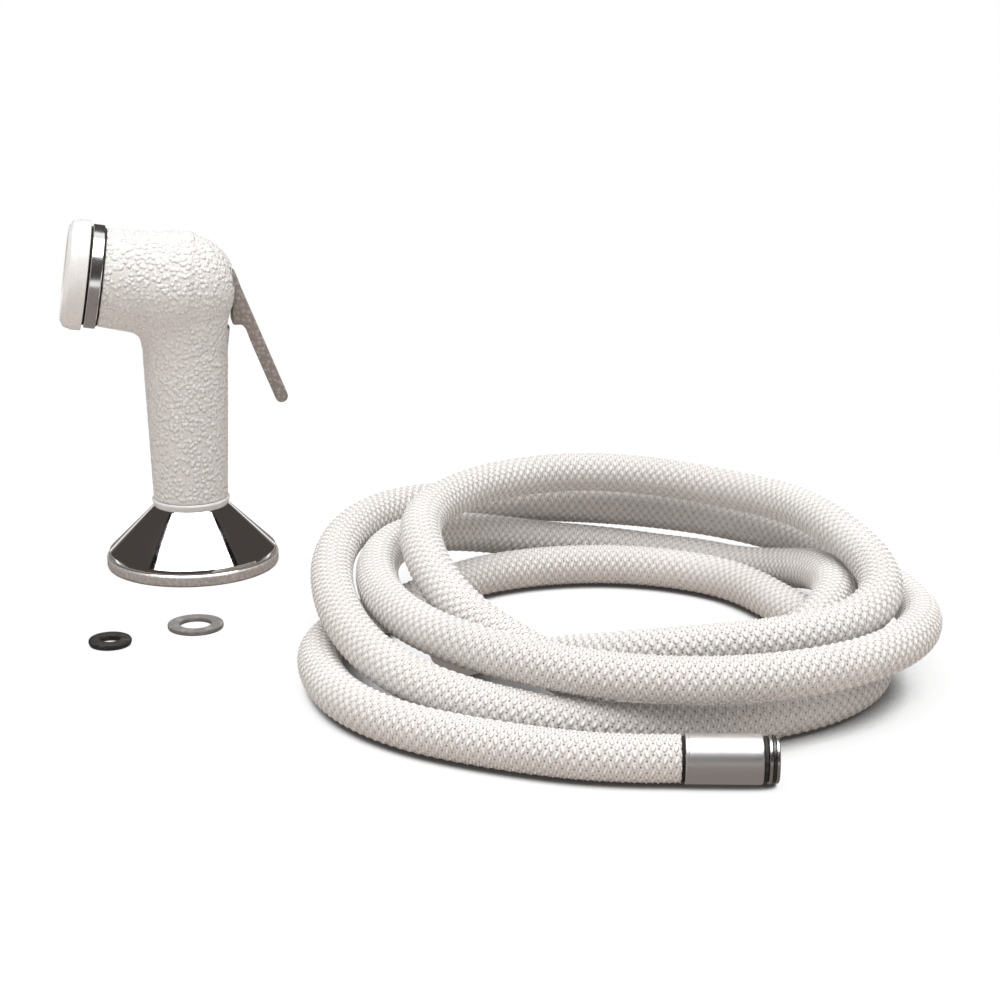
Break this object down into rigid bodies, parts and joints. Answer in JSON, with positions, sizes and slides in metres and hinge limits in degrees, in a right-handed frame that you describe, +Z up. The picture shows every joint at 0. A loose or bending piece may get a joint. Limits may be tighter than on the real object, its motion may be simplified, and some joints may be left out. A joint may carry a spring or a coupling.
{
  "type": "kitchen side spray",
  "caption": "Hand sprayer with thumb lever in a conical deck holder, with loose washers and a coiled braided hose with crimped ends.",
  "frame": {"origin": "centre of the holder's base opening, on the worktop that the holder stands on", "axes": "+Z up along the holder's and handle's axis; -X the way the spray head points; the lever is on the +X side"},
  "size_m": [0.2609, 0.2652, 0.1224],
  "materials": {
    "chrome": "polished chrome plating",
    "white_plastic": "fine pebble texture, slightly glossy",
    "smooth_plastic": "smooth moulded",
    "brass": "turned",
    "black_rubber": "moulded",
    "grey_rubber": "moulded",
    "steel": "drawn wire and turned pin",
    "braid": "nylon braid over a clear tube"
  },
  "bodies": {
    "holder": {"holder_cone": "chrome", "base_gasket": "black_rubber", "large_washer": "grey_rubber", "small_washer": "black_rubber", "hose_coil": "braid", "hose_run": "braid", "spray_ferrule": "chrome", "spray_nipple": "brass", "end_seal": "black_rubber", "snap_ring": "steel", "faucet_ferrule": "chrome", "faucet_nipple": "brass"},
    "liner": {"holder_liner": "smooth_plastic"},
    "sprayer": {"sprayer_body": "white_plastic", "tail_nut": "smooth_plastic", "inlet_socket": "brass", "water_tube": "smooth_plastic", "tube_seal": "black_rubber", "chrome_ring": "chrome", "flow_disc": "smooth_plastic", "face_seal": "black_rubber", "spray_face": "smooth_plastic", "face_cap": "smooth_plastic", "lever_pin": "steel", "valve_body": "brass", "valve_plug": "brass", "valve_gland": "brass", "gland_seal": "black_rubber"},
    "lever": {"lever": "smooth_plastic"},
    "stem": {"valve_stem": "smooth_plastic", "valve_washer": "black_rubber", "valve_spring": "steel"},
    "nut": {"union_nut": "chrome"}
  },
  "joints": [
    {"name": "sprayer_turn", "type": "hinge", "parent": "holder", "child": "liner", "pos_m": [0, 0, 0.0213], "axis": [0, 0, 1], "continuous": true},
    {"name": "sprayer_lift", "type": "slide", "parent": "liner", "child": "sprayer", "axis": [0, 0, 1], "range_m": [0, 0.06]},
    {"name": "lever_press", "type": "hinge", "parent": "sprayer", "child": "lever", "pos_m": [0.0158, 0, 0.0998], "axis": [0, 1, 0], "range_deg": [0, 12], "stiffness_Nm_per_rad": 0.4, "springref_deg": -17.19},
    {"name": "stem_travel", "type": "slide", "parent": "sprayer", "child": "stem", "axis": [-1, 0, 0], "range_m": [0, 0.0021]},
    {"name": "nut_turn", "type": "hinge", "parent": "holder", "child": "nut", "pos_m": [0.07076, -0.12136, 0.0097], "axis": [-0.696, 0.718, 0], "continuous": true}
  ],
  "couplings": [
    {"joint": "stem_travel", "follows": "lever_press", "m_per_rad": 0.0098}
  ]
}
